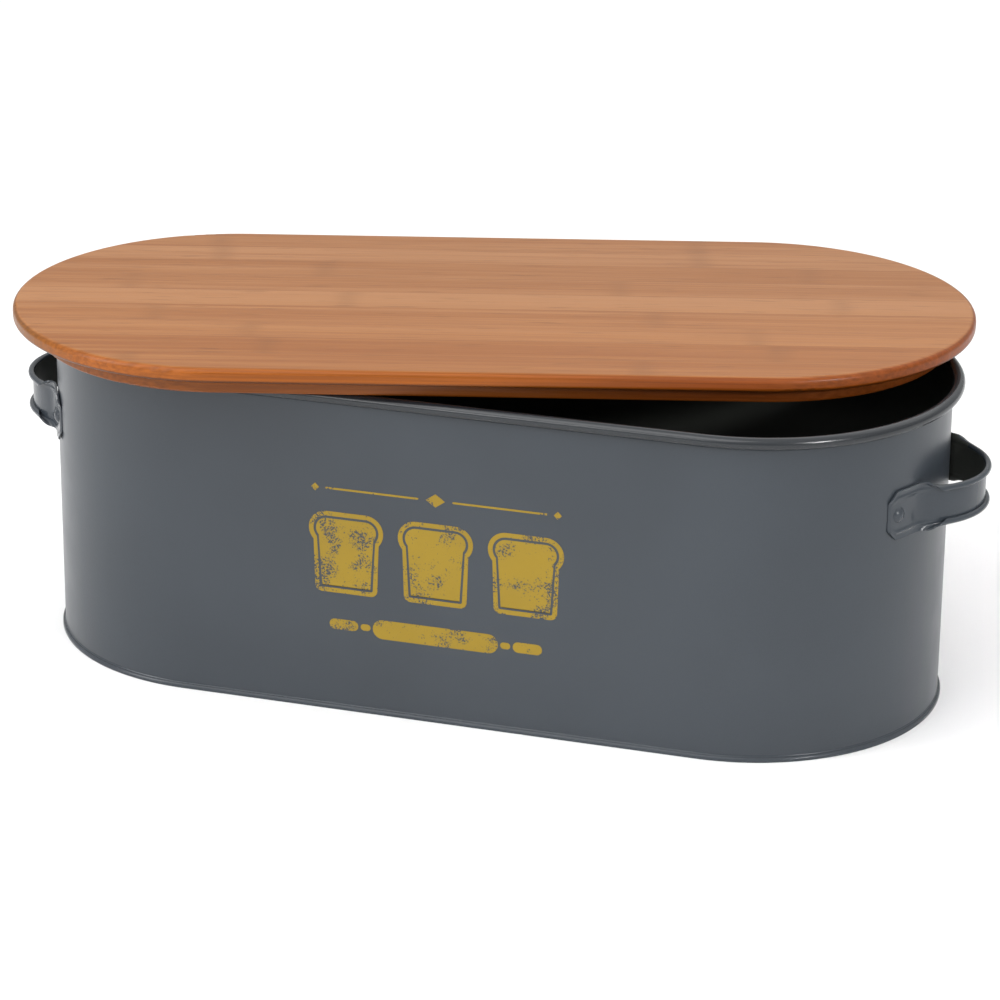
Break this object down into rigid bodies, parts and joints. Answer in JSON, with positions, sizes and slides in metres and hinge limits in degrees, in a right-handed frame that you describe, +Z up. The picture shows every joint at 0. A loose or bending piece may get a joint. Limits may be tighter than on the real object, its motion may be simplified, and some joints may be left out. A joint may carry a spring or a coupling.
{
  "type": "bread bin",
  "caption": "Oblong sheet-steel bread bin with rolled rim and riveted strap handles, and a loose bamboo lid lying askew on the rim.",
  "frame": {"origin": "middle of the ring that the bin stands on, at the table", "axes": "+X along the bin to its right end, +Y from the printed front to the back, +Z up"},
  "size_m": [0.4378, 0.2498, 0.1608],
  "materials": {
    "coated_steel": "satin powder coat, dark grey",
    "bamboo": "carbonised bamboo strips, satin oil"
  },
  "bodies": {
    "bin": {"bin_wall": "coated_steel", "base_pan": "coated_steel", "left_handle": "coated_steel", "right_handle": "coated_steel", "handle_rivets": "coated_steel"},
    "lid": {"board_strip_1": "bamboo", "board_strip_2": "bamboo", "board_strip_3": "bamboo", "board_strip_4": "bamboo", "board_strip_5": "bamboo", "board_strip_6": "bamboo", "board_strip_7": "bamboo", "board_strip_8": "bamboo", "board_strip_9": "bamboo", "plug_strip_1": "bamboo", "plug_strip_2": "bamboo", "plug_strip_3": "bamboo", "plug_strip_4": "bamboo", "plug_strip_5": "bamboo", "plug_strip_6": "bamboo", "plug_strip_7": "bamboo", "plug_strip_8": "bamboo"}
  },
  "joints": [
    {"name": "lid_lift", "type": "slide", "parent": "bin", "child": "lid", "axis": [0, 0, 1], "range_m": [0, 0.16]}
  ]
}
